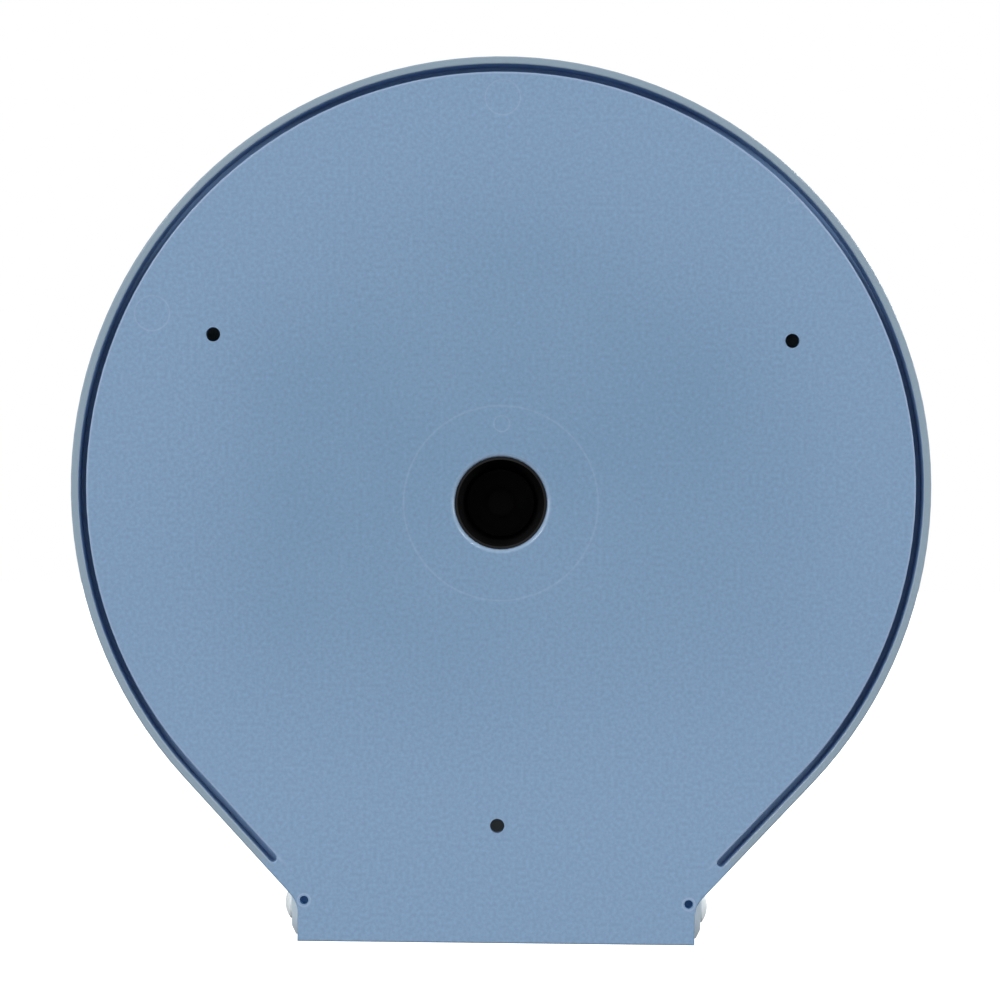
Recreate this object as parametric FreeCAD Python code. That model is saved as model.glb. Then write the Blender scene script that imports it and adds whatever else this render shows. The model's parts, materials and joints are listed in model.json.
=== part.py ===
import FreeCAD, Part
import math
import os

# Wall dispenser for one jumbo roll of toilet paper.
# The origin is on the wall, on the axis of the roll. +Y points into the wall, -Y out into the room, +Z up.
# Distances in front of the wall are named "front" or "depth" and are laid along -Y.

Vector = FreeCAD.Vector
RIGHT = Vector(1, 0, 0)
INTO_WALL = Vector(0, 1, 0)
FORWARD = Vector(0, -1, 0)
UP = Vector(0, 0, 1)
ORIGIN = Vector(0, 0, 0)
full_turn_angle = 360.0
right_angle = 90.0
match_share = 0.001

# Overall outline, which the back plate and the cover share
plate_radius = 130.0
plate_centre_height = 5.0
shoulder_angle = 47.0
neck_half_width = 60.0
neck_length = 11.7
neck_corner_radius = 8.0
overrun = 1.0

# Cross-shaped drive recesses of the screws, as shares of the cross's span
cross_width_share = 0.22
cross_depth_share = 0.32

# Roll that the dispenser takes
small_core_radius = 28.5
large_core_radius = 42.0
roll_width = 90.0

# Back plate: panel and hollow rim
panel_thickness = 2.5
rim_depth = 12.0
rim_outer_wall = 2.3
groove_width = 2.3
rim_inner_wall = 2.0
rim_front_wall = 2.0
groove_end_distance = 15.0
neck_wall = 2.5
neck_lip_depth = 4.5
neck_lip_thickness = 2.0
back_edge_radius = 0.5

# Back plate: lip that centres the cover
lip_clearance = 0.5
lip_thickness = 2.0
lip_height = 5.0
lip_low_height = -6.0
lip_gap_half_width = 14.0

# Back plate: wall screws
screw_hole_radius = 2.15
upper_hole_half_spacing = 87.5
upper_hole_height = 50.0
lower_hole_drop = 97.5
screw_pad_radius = 7.0
screw_pad_height = 1.5

# Back plate: hub
hub_hole_radius = 14.0
hub_lip_radius = 1.2
hub_pad_radius = 29.5
hub_pad_height = 3.5

# Hinge
hinge_front = 28.0
hinge_rise = 9.0
lug_setback = 0.75
lug_thickness = 6.0
lug_radius = 8.0
pin_radius = 3.0
pin_running_gap = 0.08
pin_head_radius = 5.0
pin_head_height = 2.2
pin_head_rim = 0.5
pin_tip_length = 2.6
pin_barb = 0.6
pin_slot_width = 1.2
pin_slot_length = 6.0
core_hole_radius = 1.3
core_hole_depth = 5.0
core_hole_edge_distance = 1.9
core_hole_rise = 12.4

# Spindle post
post_fit = 0.05
post_flange_radius = 28.5
post_flange_thickness = 3.0
post_setback = 1.4
post_back_wall = 2.45
post_mouth_wall = 0.8
post_mouth_length = 9.0
post_front_wall = 3.0
post_end_wall = 3.0
post_front_chamfer = 0.8
post_boss_radius = 4.2
post_boss_length = 10.0
post_boss_floor = 2.0

# Screws of the post's flange
flange_screw_count = 3
flange_screw_circle_radius = 24.0
flange_screw_radius = 1.5
flange_screw_head_radius = 2.9
flange_screw_head_height = 1.6
flange_screw_length = 7.2
flange_screw_gap = 0.1
flange_screw_cross = 3.2

# Brake washer
brake_inner_gap = 0.5
brake_width = 5.5
brake_sheet = 0.5
brake_bow_radius = 200.0
brake_gap = 0.05

# Core holder
holder_gap = 0.3
holder_wall = 2.4
holder_disc_radius = 48.0
holder_disc_thickness = 2.2
holder_disc_bead = 1.2
holder_disc_bead_width = 2.0
holder_fin_count = 6
holder_fin_thickness = 2.4
holder_core_gap = 1.0
holder_fin_nose_length = 12.0
holder_fin_nose_drop = 6.0
holder_bump_height = 1.2
holder_bump_length = 5.0
holder_end_gap = 0.4

# Core spacer
spacer_fit = 0.2
spacer_wall = 1.8
spacer_core_gap = 0.8
spacer_spoke_count = 8
spacer_spoke_thickness = 1.8
spacer_nose_length = 6.0
spacer_nose_drop = 1.0

# Spindle cap and its screw
cap_radius = 19.0
cap_thickness = 3.5
cap_edge_chamfer = 1.2
cap_recess_radius = 5.0
cap_recess_depth = 1.5
cap_screw_radius = 2.0
cap_screw_head_radius = 3.9
cap_screw_head_height = 2.4
cap_screw_dome_radius = 1.0
cap_screw_length = 11.0
cap_screw_cross = 4.4

# Cover shell
cover_depth = 135.0
cover_wall = 2.2
cover_gap = 0.3
cover_draft_angle = 1.5
cover_crown = 4.0
cover_front_radius = 14.0
front_border = 24.0
front_panel_sink = 1.2
front_step_angle = 35.0
cover_neck_margin = 2.4
cover_mouth_rise = 0.5
mouth_edge_height = 2.8
mouth_edge_width = 1.2
cover_run_on = 25.0
hinge_pad_radius = 8.4
hinge_pad_height = 0.7
hinge_pad_flat_radius = 5.6
hinge_pad_fall = 1.5
hinge_side_gap = 0.3
heel_gap = 0.1
stop_rib_gap = 0.3
stop_rib_thickness = 2.5
stop_rib_width = 3.6
stop_rib_top = 4.0
stop_rib_bite = 0.8
finger_relief_half_width = 35.0
finger_relief_height = 10.0

# Tear blades and their rivets
blade_back = 42.0
blade_front_margin = 21.0
blade_sheet = 0.6
blade_height = 12.0
tooth_pitch = 4.0
tooth_height = 2.5
rivet_count = 3
rivet_end_distance = 8.0
rivet_rise = 5.2
rivet_radius = 1.5
rivet_head_radius = 2.6
rivet_head_height = 1.0
rivet_tail_height = 0.8

# Lock at the top of the cover
lock_front = 27.0
lock_seat_depth = 1.4
lock_pad_radius = 9.8
lock_pad_thickness = 2.1
lock_flange_radius = 8.5
lock_flange_thickness = 1.2
lock_flange_gap = 0.3
lock_body_radius = 5.5
lock_body_flat = 4.8
lock_body_gap = 0.1
lock_body_length = 4.6
lock_nut_sides = 6
lock_nut_width = 14.0
lock_nut_height = 2.2
plug_radius = 3.8
plug_gap = 0.08
plug_tang = 4.0
key_slot_width = 1.2
key_slot_length = 5.4
key_slot_depth = 3.0
key_hole_radius = 1.3
cam_gap = 0.15
cam_thickness = 1.4
cam_length = 13.0
cam_half_width = 3.5
cam_hub_radius = 5.2
cam_hole_gap = 0.05
cam_washer_radius = 3.6
cam_washer_thickness = 0.4
cam_screw_radius = 1.2
cam_screw_head_radius = 2.8
cam_screw_head_height = 1.1
cam_screw_length = 4.0
cam_screw_cross = 2.6

# Keeper of the lock, on the back plate
keeper_tip_gap = 0.8
keeper_side_gap = 0.6
keeper_thickness = 2.5
keeper_reach = 4.4
keeper_height = 4.6
keeper_root_height = 12.0

# Places that several pieces share
slant = math.radians(shoulder_angle)
plate_top = plate_centre_height + plate_radius
shoulder_width = plate_radius * math.sin(slant) - neck_half_width
shoulder_base = plate_centre_height - plate_radius * math.cos(slant) - shoulder_width * math.tan(slant)
neck_base = shoulder_base - neck_length
hub_face = panel_thickness + hub_pad_height
flange_face = hub_face + post_flange_thickness
post_radius = hub_hole_radius - post_fit
brake_inner_radius = post_radius + brake_inner_gap
brake_radius = brake_inner_radius + brake_width
brake_bow = brake_bow_radius - math.sqrt(brake_bow_radius ** 2 - brake_radius ** 2)
holder_back = flange_face + brake_gap + brake_sheet + brake_bow + brake_gap
holder_seat = holder_back + holder_disc_thickness
holder_front = holder_seat + roll_width
post_front = holder_front + holder_end_gap
sleeve_inner_radius = post_radius + holder_gap
sleeve_radius = sleeve_inner_radius + holder_wall
fin_radius = small_core_radius - holder_core_gap
cover_back = rim_depth + cover_gap
cover_neck_half = neck_half_width + cover_neck_margin
crown_radius = (plate_radius ** 2 + cover_crown ** 2) / (2 * cover_crown)
mouth_height = neck_base + cover_mouth_rise
hinge_height = neck_base + hinge_rise
blade_length = cover_depth - blade_front_margin - blade_back
lug_outer = neck_half_width - lug_setback
lug_inner = lug_outer - lug_thickness
hinge_pad_inner = lug_outer + hinge_side_gap
cheek_outer = cover_neck_half - (hinge_front - cover_back) * math.tan(math.radians(cover_draft_angle))
hinge_pad_outer = cheek_outer + hinge_pad_height
pin_hole_radius = pin_radius + pin_running_gap
lock_seat = plate_top - lock_seat_depth
lock_pad_base = lock_seat - lock_pad_thickness
lock_body_base = lock_seat - lock_body_length
cam_top = lock_body_base - cam_gap
cam_base = cam_top - cam_thickness


def cylinder(radius, start, direction, length):
    return Part.makeCylinder(radius, length, start, direction)


def tube(radius, bore_radius, start, direction, length):
    bore_start = start - direction * overrun
    bore = cylinder(bore_radius, bore_start, direction, length + 2 * overrun)
    return cylinder(radius, start, direction, length).cut(bore)


def block(x_low, x_high, depth_low, depth_high, z_low, z_high):
    """Box between two distances in front of the wall."""
    corner = Vector(x_low, -depth_high, z_low)
    return Part.makeBox(x_high - x_low, depth_high - depth_low, z_high - z_low, corner)


def prism(points, sweep):
    return Part.Face(Part.makePolygon(points + points[:1])).extrude(sweep)


def turned(profile, axis_point, axis, spoke):
    """Solid of revolution of a closed profile of (radius, distance along the axis)."""
    points = [axis_point + spoke * radius + axis * along for radius, along in profile]
    face = Part.Face(Part.makePolygon(points + points[:1]))
    return face.revolve(axis_point, axis, full_turn_angle)


def turned_on_spindle(profile):
    """Solid of revolution about the roll's axis, from (radius, distance in front of the wall)."""
    return turned(profile, ORIGIN, FORWARD, RIGHT)


def around_spindle(shape, count):
    copies = []
    for index in range(count):
        copy = shape.copy()
        copy.rotate(ORIGIN, INTO_WALL, full_turn_angle * index / count)
        copies.append(copy)
    return copies


def cross_recess(span, top, outwards):
    """Drive recess of a screw, sunk into its head from the head's top."""
    width = span * cross_width_share
    depth = span * cross_depth_share
    bar = Part.makeBox(span, width, depth + overrun, Vector(-span / 2, -width / 2, -depth))
    second_bar = bar.copy()
    second_bar.rotate(ORIGIN, UP, right_angle)
    recess = bar.fuse(second_bar)
    recess.Placement = FreeCAD.Placement(top, FreeCAD.Rotation(UP, outwards))
    return recess


def fused(shapes):
    return shapes[0].multiFuse(shapes[1:]).removeSplitter()


def mirrored(shape):
    return shape.mirror(ORIGIN, RIGHT)


def both_sides(shape):
    return [shape, mirrored(shape)]


def across(point):
    return Vector(-point.x, point.y, point.z)


def shoulder_directions():
    """Directions out of the right shoulder and down along it."""
    outwards = Vector(math.sin(slant), 0, -math.cos(slant))
    downwards = Vector(-math.cos(slant), 0, -math.sin(slant))
    return outwards, downwards


def shoulder_corner(inset, half_width):
    """Tangent point of the right shoulder and its corner with the neck, taken in by inset."""
    outwards, downwards = shoulder_directions()
    tangent = UP * plate_centre_height + outwards * (plate_radius - inset)
    run = (tangent.x - half_width + inset) / -downwards.x
    return tangent, tangent + downwards * run


def outline_face(inset, half_width, bottom, depth):
    """The closed outline, taken in by inset, at a distance in front of the wall."""
    outwards, downwards = shoulder_directions()
    tangent, corner = shoulder_corner(inset, half_width)
    radius = neck_corner_radius + inset
    turn = math.radians(right_angle - shoulder_angle)
    back = radius * math.tan(turn / 2)
    bend_start = corner - downwards * back
    bend_end = corner - UP * back
    towards_corner = (outwards + RIGHT).normalize()
    bend_middle = bend_end + RIGHT * radius - towards_corner * radius
    foot = Vector(half_width - inset, 0, bottom)
    top = UP * (plate_centre_height + plate_radius - inset)
    edges = [
        Part.Arc(across(tangent), top, tangent),
        Part.LineSegment(tangent, bend_start),
        Part.Arc(bend_start, bend_middle, bend_end),
        Part.LineSegment(bend_end, foot),
        Part.LineSegment(foot, across(foot)),
        Part.LineSegment(across(foot), across(bend_end)),
        Part.Arc(across(bend_end), across(bend_middle), across(bend_start)),
        Part.LineSegment(across(bend_start), across(tangent)),
    ]
    wire = Part.Wire([edge.toShape() for edge in edges])
    wire.translate(FORWARD * depth)
    return Part.Face(wire)


def band_face(outer_inset, inner_inset, depth):
    """Band along the round edge and both shoulders, with rounded ends above the neck."""
    outwards, downwards = shoulder_directions()
    corner = shoulder_corner(0, neck_half_width)[1]
    half = (inner_inset - outer_inset) / 2
    end = corner - downwards * groove_end_distance - outwards * (outer_inset + half)
    outer_tangent = shoulder_corner(outer_inset, neck_half_width)[0]
    inner_tangent = shoulder_corner(inner_inset, neck_half_width)[0]
    outer_end = end + outwards * half
    inner_end = end - outwards * half
    tip = end + downwards * half
    outer_top = UP * (plate_top - outer_inset)
    inner_top = UP * (plate_top - inner_inset)
    edges = [
        Part.Arc(across(outer_tangent), outer_top, outer_tangent),
        Part.LineSegment(outer_tangent, outer_end),
        Part.Arc(outer_end, tip, inner_end),
        Part.LineSegment(inner_end, inner_tangent),
        Part.Arc(inner_tangent, inner_top, across(inner_tangent)),
        Part.LineSegment(across(inner_tangent), across(inner_end)),
        Part.Arc(across(inner_end), across(tip), across(outer_end)),
        Part.LineSegment(across(outer_end), across(outer_tangent)),
    ]
    wire = Part.Wire([edge.toShape() for edge in edges])
    wire.translate(FORWARD * depth)
    return Part.Face(wire)


def wall_screw_places():
    return [
        Vector(upper_hole_half_spacing, 0, upper_hole_height),
        Vector(-upper_hole_half_spacing, 0, upper_hole_height),
        Vector(0, 0, -lower_hole_drop),
    ]


def rim_and_panel():
    """Flat panel, hollow rim open to the wall, and plain side walls at the neck."""
    bottom = neck_base
    rim_width = rim_outer_wall + groove_width + rim_inner_wall
    panel = outline_face(0, neck_half_width, bottom, 0).extrude(FORWARD * panel_thickness)
    rim = band_face(0, rim_width, 0).extrude(FORWARD * rim_depth)
    side_walls = outline_face(0, neck_half_width, bottom, 0).extrude(FORWARD * rim_depth)
    inside = outline_face(neck_wall, neck_half_width, bottom - overrun, -overrun)
    side_walls = side_walls.cut(inside.extrude(FORWARD * (rim_depth + 2 * overrun)))
    half_lip = neck_half_width - neck_wall / 2
    lip_front = panel_thickness + neck_lip_depth
    neck_lip = block(-half_lip, half_lip, 0, lip_front, bottom, bottom + neck_lip_thickness)
    body = fused([panel, rim, side_walls, neck_lip])
    groove = band_face(rim_outer_wall, rim_outer_wall + groove_width, -overrun)
    body = body.cut(groove.extrude(FORWARD * (rim_depth - rim_front_wall + overrun)))
    wall_edges = [edge for edge in body.Edges if abs(edge.BoundBox.YMin) < back_edge_radius * match_share]
    return body.makeFillet(back_edge_radius, wall_edges)


def centring_lip():
    """Two arcs that stand on the rim inside the cover's edge, clear of the lock."""
    outer = plate_radius - cover_wall - lip_clearance
    base = Vector(0, -rim_front_wall, plate_centre_height)
    length = rim_depth - rim_front_wall + lip_height
    ring = tube(outer, outer - lip_thickness, base, FORWARD, length)
    start = rim_depth - rim_front_wall
    front = rim_depth + lip_height + overrun
    reach = plate_radius + overrun
    ring = ring.cut(block(-reach, reach, -overrun, start, -reach, plate_top + overrun))
    ring = ring.cut(block(-reach, reach, -overrun, front, -reach, lip_low_height))
    gap = lip_gap_half_width
    return ring.cut(block(-gap, gap, -overrun, front, lip_low_height, plate_top + overrun))


def hinge_lug():
    """Right-hand lug, with a flat underside for the cover's stop."""
    axis_start = Vector(lug_inner, -hinge_front, hinge_height)
    nose = cylinder(lug_radius, axis_start, RIGHT, lug_thickness)
    low = hinge_height - lug_radius
    high = hinge_height + lug_radius
    root = panel_thickness / 2
    arm = block(lug_inner, lug_outer, root, hinge_front, low, high)
    return nose.fuse(arm)


def keeper():
    """Hook beside the lock; its lip stands in front of the turned cam."""
    stem_inner = cam_length + keeper_tip_gap
    stem_outer = stem_inner + keeper_thickness
    lip_back = lock_front + cam_half_width + keeper_side_gap
    lip_front = lip_back + keeper_thickness
    cam_middle = cam_base + cam_thickness / 2
    low = cam_middle - keeper_height / 2
    high = cam_middle + keeper_height / 2
    root = panel_thickness / 2
    rim_wall_middle = plate_radius - rim_outer_wall - groove_width - rim_inner_wall / 2
    rim_wall_height = plate_centre_height + math.sqrt(rim_wall_middle ** 2 - stem_outer ** 2)
    rim_front_middle = rim_depth - rim_front_wall / 2
    profile = [
        Vector(stem_inner, -root, low - keeper_root_height),
        Vector(stem_inner, -root, rim_wall_height),
        Vector(stem_inner, -rim_front_middle, rim_wall_height),
        Vector(stem_inner, -rim_front_middle, high),
        Vector(stem_inner, -lip_front, high),
        Vector(stem_inner, -lip_front, low),
        Vector(stem_inner, -rim_depth, low),
    ]
    stem = prism(profile, RIGHT * keeper_thickness)
    lip = block(stem_outer - keeper_thickness - keeper_reach, stem_outer, lip_back, lip_front, low, high)
    return stem.fuse(lip)


def backplate():
    root = FORWARD * (panel_thickness / 2)
    pad_length = panel_thickness / 2 + screw_pad_height
    pads = [cylinder(screw_pad_radius, place + root, FORWARD, pad_length) for place in wall_screw_places()]
    hub_pad = cylinder(hub_pad_radius, root, FORWARD, hub_face - panel_thickness / 2)
    parts = [rim_and_panel(), centring_lip(), hub_pad, keeper()] + pads + both_sides(hinge_lug())
    body = fused(parts)
    holes = [cylinder(screw_hole_radius, place + INTO_WALL * overrun, FORWARD, rim_depth)
             for place in wall_screw_places()]
    holes.append(cylinder(hub_hole_radius, INTO_WALL * overrun, FORWARD, rim_depth))
    pilot_base = flange_face - flange_screw_length
    pilot_start = Vector(0, -pilot_base, flange_screw_circle_radius)
    pilot = cylinder(flange_screw_radius, pilot_start, FORWARD, rim_depth)
    holes += around_spindle(pilot, flange_screw_count)
    pin_bore_start = Vector(lug_inner - overrun, -hinge_front, hinge_height)
    holes += both_sides(cylinder(pin_radius, pin_bore_start, RIGHT, lug_thickness + 2 * overrun))
    core_hole_x = neck_half_width - core_hole_edge_distance
    core_hole_start = Vector(core_hole_x, overrun, neck_base + core_hole_rise)
    holes += both_sides(cylinder(core_hole_radius, core_hole_start, FORWARD, core_hole_depth + overrun))
    for hole in holes:
        body = body.cut(hole)
    hub_edges = [edge for edge in body.Edges if is_wall_circle(edge, hub_hole_radius)]
    return body.makeFillet(hub_lip_radius, hub_edges)


def is_wall_circle(edge, radius):
    """True for a circle of this radius on the wall plane."""
    if not isinstance(edge.Curve, Part.Circle):
        return False
    same_radius = math.isclose(edge.Curve.Radius, radius, rel_tol=match_share)
    return same_radius and edge.Curve.Center.Length < radius * match_share


def spindle_post():
    back_bore = hub_hole_radius - post_fit - post_back_wall
    front_bore = post_radius - post_front_wall
    end_face = post_front - post_end_wall
    boss_base = end_face - post_boss_length
    hole_base = boss_base + post_boss_floor
    profile = [
        (post_radius - post_mouth_wall, post_setback),
        (post_radius, post_setback),
        (post_radius, hub_face),
        (post_flange_radius, hub_face),
        (post_flange_radius, flange_face),
        (post_radius, flange_face),
        (post_radius, post_front - post_front_chamfer),
        (post_radius - post_front_chamfer, post_front),
        (cap_screw_radius, post_front),
        (cap_screw_radius, hole_base),
        (0, hole_base),
        (0, boss_base),
        (post_boss_radius, boss_base),
        (post_boss_radius, end_face),
        (front_bore, end_face),
        (back_bore, post_setback + post_mouth_length),
    ]
    post = turned_on_spindle(profile)
    shank_start = Vector(0, overrun - hub_face, flange_screw_circle_radius)
    shank_hole_radius = flange_screw_radius + flange_screw_gap
    shank_hole = cylinder(shank_hole_radius, shank_start, FORWARD, flange_screw_length / 2)
    for hole in around_spindle(flange_screw().fuse(shank_hole), flange_screw_count):
        post = post.cut(hole)
    return post


def flange_screw():
    """Countersunk screw at the top of the flange."""
    neck = flange_face - flange_screw_head_height
    profile = [
        (0, flange_face - flange_screw_length),
        (flange_screw_radius, flange_face - flange_screw_length),
        (flange_screw_radius, neck),
        (flange_screw_head_radius, flange_face),
        (0, flange_face),
    ]
    return turned(profile, UP * flange_screw_circle_radius, FORWARD, RIGHT)


def post_screws():
    top = UP * flange_screw_circle_radius + FORWARD * flange_face
    screw = flange_screw().cut(cross_recess(flange_screw_cross, top, FORWARD))
    return Part.makeCompound(around_spindle(screw, flange_screw_count))


def brake_washer():
    """Flat ring bowed about the vertical, so that it bears in the middle and at its two sides."""
    back = flange_face + brake_gap
    ring = tube(brake_radius, brake_inner_radius, FORWARD * back, FORWARD, brake_bow + brake_sheet)
    bend_axis = Vector(0, -(back + brake_sheet + brake_bow_radius), -brake_radius - overrun)
    bend_length = 2 * (brake_radius + overrun)
    sheet = tube(brake_bow_radius + brake_sheet, brake_bow_radius, bend_axis, UP, bend_length)
    return ring.common(sheet)


def core_holder():
    disc_edge = holder_disc_radius - holder_disc_bead_width
    profile = [
        (sleeve_inner_radius, holder_back),
        (holder_disc_radius, holder_back),
        (holder_disc_radius, holder_seat + holder_disc_bead),
        (disc_edge, holder_seat + holder_disc_bead),
        (disc_edge, holder_seat),
        (sleeve_radius, holder_seat),
        (sleeve_radius, holder_front),
        (sleeve_inner_radius, holder_front),
    ]
    sleeve = turned_on_spindle(profile)
    root = sleeve_radius - holder_wall / 2
    nose_start = holder_front - holder_fin_nose_length
    bump_start = nose_start - holder_bump_length
    half = holder_fin_thickness / 2
    fin_profile = [
        Vector(-half, -(holder_seat - holder_disc_thickness / 2), root),
        Vector(-half, -(holder_seat - holder_disc_thickness / 2), fin_radius),
        Vector(-half, -bump_start, fin_radius),
        Vector(-half, -(bump_start + holder_bump_length / 2), fin_radius + holder_bump_height),
        Vector(-half, -nose_start, fin_radius),
        Vector(-half, -holder_front, fin_radius - holder_fin_nose_drop),
        Vector(-half, -holder_front, root),
    ]
    fin = prism(fin_profile, RIGHT * holder_fin_thickness)
    return fused([sleeve] + around_spindle(fin, holder_fin_count))


def core_spacer():
    back = holder_seat
    front = holder_front - holder_fin_nose_length - holder_bump_length
    inner = fin_radius + spacer_fit
    outer = large_core_radius - spacer_core_gap
    inner_wall = turned_on_spindle([
        (inner, back),
        (inner + spacer_wall, back),
        (inner + spacer_wall, front),
        (inner, front),
    ])
    outer_wall = turned_on_spindle([
        (outer - spacer_wall, back),
        (outer, back),
        (outer, front - spacer_nose_length),
        (outer - spacer_nose_drop, front),
        (outer - spacer_nose_drop - spacer_wall, front),
        (outer - spacer_wall, front - spacer_nose_length),
    ])
    half = spacer_spoke_thickness / 2
    low = inner + spacer_wall / 2
    high = outer - spacer_nose_drop - spacer_wall / 2
    spoke = block(-half, half, back, front, low, high)
    return fused([inner_wall, outer_wall] + around_spindle(spoke, spacer_spoke_count))


def spindle_cap():
    front = post_front + cap_thickness
    recess = front - cap_recess_depth
    profile = [
        (cap_screw_radius, post_front),
        (cap_radius, post_front),
        (cap_radius, front - cap_edge_chamfer),
        (cap_radius - cap_edge_chamfer, front),
        (cap_recess_radius, front),
        (cap_recess_radius, recess),
        (cap_screw_radius, recess),
    ]
    return turned_on_spindle(profile)


def cap_screw():
    seat = post_front + cap_thickness - cap_recess_depth
    top = seat + cap_screw_head_height
    profile = [
        (0, seat - cap_screw_length),
        (cap_screw_radius, seat - cap_screw_length),
        (cap_screw_radius, seat),
        (cap_screw_head_radius, seat),
        (cap_screw_head_radius, top - cap_screw_dome_radius),
        (cap_screw_head_radius - cap_screw_dome_radius, top),
        (0, top),
    ]
    return turned_on_spindle(profile).cut(cross_recess(cap_screw_cross, FORWARD * top, FORWARD))


def draft_inset(depth):
    """How far the cover's drafted wall has come in at a distance in front of the wall."""
    return (depth - cover_back) * math.tan(math.radians(cover_draft_angle))


def crown_ball(inset):
    """Ball whose surface is the cover's crowned front, taken in by inset."""
    centre = Vector(0, crown_radius - cover_depth, plate_centre_height)
    return Part.makeSphere(crown_radius - inset, centre)


def cover_solid(inset, back, front_radius):
    """Drafted and crowned solid, taken in by inset, whose neck runs on below the mouth."""
    bottom = neck_base - cover_run_on
    front = cover_depth + overrun
    wires = []
    for depth in (back, front):
        face = outline_face(inset + draft_inset(depth), cover_neck_half, bottom, depth)
        wires.append(face.OuterWire)
    solid = Part.makeLoft(wires, True, True)
    solid = solid.common(crown_ball(inset))
    half_depth = cover_depth / 2
    front_edges = [edge for edge in solid.Edges
                   if edge.BoundBox.YMax < -half_depth and edge.BoundBox.ZMax > neck_base]
    return solid.makeFillet(front_radius, front_edges)


def sink_front(solid, inset, border):
    """Sinks the crowned front behind a sloping step, within a border that follows the outline."""
    bottom = neck_base - cover_run_on - overrun
    step_radius = plate_radius - border
    crown_drop = crown_radius - math.sqrt(crown_radius ** 2 - step_radius ** 2)
    step_depth = cover_depth - inset - crown_drop
    wires = []
    for depth in (cover_depth - 2 * cover_crown, cover_depth + overrun):
        run = (step_depth - depth) * math.tan(math.radians(front_step_angle))
        wires.append(outline_face(border + run, cover_neck_half, bottom, depth).OuterWire)
    sunk_part = Part.makeLoft(wires, True, True).cut(crown_ball(inset + front_panel_sink))
    return solid.cut(sunk_part)


def heel_cut():
    """What the cheeks lose behind and below the hinge, so that they swing clear of the plate."""
    reach = hinge_front - cover_back
    half = cover_neck_half + overrun
    low = mouth_height - overrun
    corner = block(-half, half, cover_back - overrun, hinge_front, low, hinge_height)
    axis_start = Vector(-half - overrun, -hinge_front, hinge_height)
    return corner.cut(cylinder(reach - heel_gap, axis_start, RIGHT, 2 * (half + overrun)))


def hinge_pad():
    """Round ear about the right-hand hinge pin; its outer face falls away to the ear's edge."""
    profile = [
        (0, hinge_pad_inner),
        (hinge_pad_radius, hinge_pad_inner),
        (hinge_pad_radius, hinge_pad_outer - hinge_pad_fall),
        (hinge_pad_flat_radius, hinge_pad_outer),
        (0, hinge_pad_outer),
    ]
    return turned(profile, Vector(0, -hinge_front, hinge_height), RIGHT, UP)


def mouth_edge():
    """Wedges that thin the lower edge of both cheeks from outside."""
    outer = cover_neck_half
    points = [
        Vector(outer - mouth_edge_width, -cover_back + overrun, mouth_height),
        Vector(outer, -cover_back + overrun, mouth_height + mouth_edge_height),
        Vector(outer + overrun, -cover_back + overrun, mouth_height + mouth_edge_height),
        Vector(outer + overrun, -cover_back + overrun, mouth_height - overrun),
        Vector(outer - mouth_edge_width, -cover_back + overrun, mouth_height - overrun),
    ]
    wedge = on_cheek(prism(points, FORWARD * (cover_depth - cover_back + overrun)))
    return wedge.fuse(mirrored(wedge))


def cover_shell():
    outside = cover_solid(0, cover_back, cover_front_radius)
    inside = cover_solid(cover_wall, cover_back - overrun, cover_front_radius - cover_wall)
    outside = sink_front(outside, 0, front_border)
    inside = sink_front(inside, cover_wall, front_border - cover_wall)
    shell = outside.cut(inside)
    half = plate_radius + overrun
    below = block(-half, half, cover_back - overrun, cover_depth + overrun,
                  neck_base - cover_run_on - overrun, mouth_height)
    shell = shell.cut(below)
    shell = shell.cut(mouth_edge())
    rib_inner = lug_outer - stop_rib_width + hinge_side_gap
    rib_outer = cover_neck_half - cover_wall + stop_rib_bite
    rib_back = hinge_front + lug_radius + stop_rib_gap
    stop_rib = block(rib_inner, rib_outer, rib_back, rib_back + stop_rib_thickness,
                     mouth_height, hinge_height + stop_rib_top)
    lock_axis = Vector(0, -lock_front, lock_pad_base)
    lock_pad = cylinder(lock_pad_radius, lock_axis, UP, lock_pad_thickness)
    shell = fused([shell, lock_pad] + both_sides(hinge_pad()) + both_sides(stop_rib))

    shell = shell.cut(heel_cut())
    pin_hole_start = Vector(hinge_pad_inner - overrun, -hinge_front, hinge_height)
    pin_hole_length = hinge_pad_outer - hinge_pad_inner + 2 * overrun
    holes = both_sides(cylinder(pin_hole_radius, pin_hole_start, RIGHT, pin_hole_length))
    seat_radius = lock_flange_radius + lock_flange_gap
    holes.append(cylinder(seat_radius, Vector(0, -lock_front, lock_seat), UP, lock_seat_depth + overrun))
    holes.append(lock_barrel(lock_body_radius + lock_body_gap, lock_body_flat + lock_body_gap,
                             lock_pad_base - overrun, lock_pad_thickness + 2 * overrun))
    relief_radius = (finger_relief_half_width ** 2 + finger_relief_height ** 2) / (2 * finger_relief_height)
    relief_centre = Vector(0, -cover_depth - overrun, mouth_height + finger_relief_height - relief_radius)
    holes.append(cylinder(relief_radius, relief_centre, INTO_WALL, cover_front_radius + overrun))
    for place in rivet_places():
        holes += both_sides(on_cheek(cylinder(rivet_radius, place, RIGHT, cover_wall + 2 * overrun)))
    for hole in holes:
        shell = shell.cut(hole)
    return shell


def on_cheek(shape):
    """Turns a shape laid against an undrafted right cheek onto the drafted one."""
    turned_shape = shape.copy()
    pivot = Vector(cover_neck_half - cover_wall, -cover_back, 0)
    turned_shape.rotate(pivot, UP, -cover_draft_angle)
    return turned_shape


def rivet_places():
    """Points on the inner face of the undrafted blade, where the rivets pass."""
    inner = cover_neck_half - cover_wall - blade_sheet
    spacing = (blade_length - 2 * rivet_end_distance) / (rivet_count - 1)
    first = blade_back + rivet_end_distance
    height = mouth_height + rivet_rise
    return [Vector(inner, -(first + spacing * index), height) for index in range(rivet_count)]


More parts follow.
